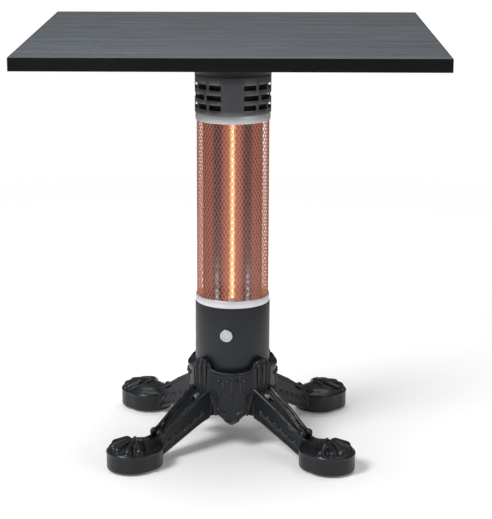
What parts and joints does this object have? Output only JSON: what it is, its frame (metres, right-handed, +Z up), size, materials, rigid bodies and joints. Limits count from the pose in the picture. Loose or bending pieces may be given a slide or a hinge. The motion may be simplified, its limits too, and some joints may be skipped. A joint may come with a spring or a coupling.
{
  "type": "outdoor heater",
  "caption": "Square bistro table with an infrared heater behind a mesh guard in its column, a round power button and a cast base with paw feet.",
  "frame": {"origin": "on the floor, in the middle of the table, on the column's axis", "axes": "+Z up along the column, the front with the power button faces -Y, +X to the right seen from the front"},
  "size_m": [0.7, 0.7, 0.75],
  "materials": {
    "top_laminate": "dark wood-grain laminate, satin",
    "edge_black": "black edge band, satin",
    "insert_brass": "plain threaded insert",
    "screw_zinc": "zinc-plated steel",
    "support_cast": "black powder coat",
    "shield_sheet": "plain sheet",
    "collar_coat": "dark grey powder coat, satin",
    "trim_bright": "bright brushed",
    "plate_zinc": "zinc-plated sheet",
    "guard_wire": "lit fine mesh",
    "reflector_polish": "polished aluminium",
    "quartz_glass": "clear quartz",
    "filament_glow": "glowing carbon heating element",
    "cap_ceramic": "matt white ceramic",
    "clip_steel": "spring steel",
    "housing_coat": "charcoal powder coat, fine texture",
    "bezel_black": "black, semi-gloss",
    "button_silver": "satin silver",
    "switch_plastic": "moulded",
    "board_green": "solder-masked board",
    "relay_blue": "moulded",
    "terminal_white": "moulded",
    "pendulum_steel": "turned steel",
    "gland_black": "moulded",
    "seal_rubber": "soft rubber",
    "tube_steel": "mild steel",
    "base_cast": "black powder coat over cast iron",
    "pad_rubber": "hard rubber"
  },
  "bodies": {
    "frame": {"tabletop": "top_laminate", "edge_band": "edge_black", "top_inserts": "insert_brass", "top_screws": "screw_zinc", "top_support": "support_cast", "heat_shield": "shield_sheet", "vent_collar": "collar_coat", "collar_baffle": "support_cast", "upper_trim_ring": "trim_bright", "upper_lamp_plate": "plate_zinc", "mesh_guard": "guard_wire", "reflector_front": "reflector_polish", "reflector_right": "reflector_polish", "reflector_left": "reflector_polish", "quartz_tube_front": "quartz_glass", "quartz_tube_right": "quartz_glass", "quartz_tube_left": "quartz_glass", "filaments": "filament_glow", "upper_lamp_caps": "cap_ceramic", "lower_lamp_caps": "cap_ceramic", "lamp_clips": "clip_steel", "lower_lamp_plate": "plate_zinc", "lower_trim_ring": "trim_bright", "lower_housing": "housing_coat", "button_bezel": "bezel_black", "bezel_nut": "plate_zinc", "switch_body": "switch_plastic", "board_bracket": "plate_zinc", "board_standoffs": "insert_brass", "control_board": "board_green", "relay_block": "relay_blue", "terminal_block": "terminal_white", "tilt_switch_case": "switch_plastic", "tilt_switch_lid": "switch_plastic", "gland_body": "gland_black", "gland_seal": "seal_rubber", "gland_nut": "gland_black", "housing_base_plate": "plate_zinc", "base_plate_screws": "screw_zinc", "core_tube": "tube_steel", "tube_nuts": "plate_zinc", "base_hub": "base_cast", "leg_front_left": "base_cast", "leg_front_right": "base_cast", "leg_back_right": "base_cast", "leg_back_left": "base_cast", "leg_bolts": "screw_zinc"},
    "power_button": {"power_button": "button_silver"},
    "tilt_pendulum": {"tilt_pendulum": "pendulum_steel"},
    "glide_pad_front_left": {"glide_pad_front_left": "pad_rubber"},
    "glide_stem_front_left": {"glide_stem_front_left": "screw_zinc"},
    "glide_pad_front_right": {"glide_pad_front_right": "pad_rubber"},
    "glide_stem_front_right": {"glide_stem_front_right": "screw_zinc"},
    "glide_pad_back_right": {"glide_pad_back_right": "pad_rubber"},
    "glide_stem_back_right": {"glide_stem_back_right": "screw_zinc"},
    "glide_pad_back_left": {"glide_pad_back_left": "pad_rubber"},
    "glide_stem_back_left": {"glide_stem_back_left": "screw_zinc"}
  },
  "joints": [
    {"name": "power_button_press", "type": "slide", "parent": "frame", "child": "power_button", "axis": [0.1495, 0.9888, 0], "range_m": [0, 0.0015], "stiffness_N_per_m": 800, "springref_m": -0.002},
    {"name": "tilt_pendulum_swing", "type": "hinge", "parent": "frame", "child": "tilt_pendulum", "pos_m": [-0.028, -0.012, 0.173], "axis": [1, 0, 0], "range_deg": [-25, 25]},
    {"name": "glide_height_front_left", "type": "slide", "parent": "frame", "child": "glide_pad_front_left", "axis": [0, 0, 1], "range_m": [-0.006, 0.0025]},
    {"name": "glide_turn_front_left", "type": "hinge", "parent": "glide_pad_front_left", "child": "glide_stem_front_left", "pos_m": [-0.16971, -0.16971, 0.006], "axis": [0, 0, 1], "range_deg": [-1730, 722]},
    {"name": "glide_height_front_right", "type": "slide", "parent": "frame", "child": "glide_pad_front_right", "axis": [0, 0, 1], "range_m": [-0.006, 0.0025]},
    {"name": "glide_turn_front_right", "type": "hinge", "parent": "glide_pad_front_right", "child": "glide_stem_front_right", "pos_m": [0.16971, -0.16971, 0.006], "axis": [0, 0, 1], "range_deg": [-1730, 722]},
    {"name": "glide_height_back_right", "type": "slide", "parent": "frame", "child": "glide_pad_back_right", "axis": [0, 0, 1], "range_m": [-0.006, 0.0025]},
    {"name": "glide_turn_back_right", "type": "hinge", "parent": "glide_pad_back_right", "child": "glide_stem_back_right", "pos_m": [0.16971, 0.16971, 0.006], "axis": [0, 0, 1], "range_deg": [-1730, 722]},
    {"name": "glide_height_back_left", "type": "slide", "parent": "frame", "child": "glide_pad_back_left", "axis": [0, 0, 1], "range_m": [-0.006, 0.0025]},
    {"name": "glide_turn_back_left", "type": "hinge", "parent": "glide_pad_back_left", "child": "glide_stem_back_left", "pos_m": [-0.16971, 0.16971, 0.006], "axis": [0, 0, 1], "range_deg": [-1730, 722]}
  ],
  "couplings": [
    {"joint": "glide_turn_front_left", "follows": "glide_height_front_left", "rad_per_m": 5026.5},
    {"joint": "glide_turn_front_right", "follows": "glide_height_front_right", "rad_per_m": 5026.5},
    {"joint": "glide_turn_back_right", "follows": "glide_height_back_right", "rad_per_m": 5026.5},
    {"joint": "glide_turn_back_left", "follows": "glide_height_back_left", "rad_per_m": 5026.5}
  ]
}
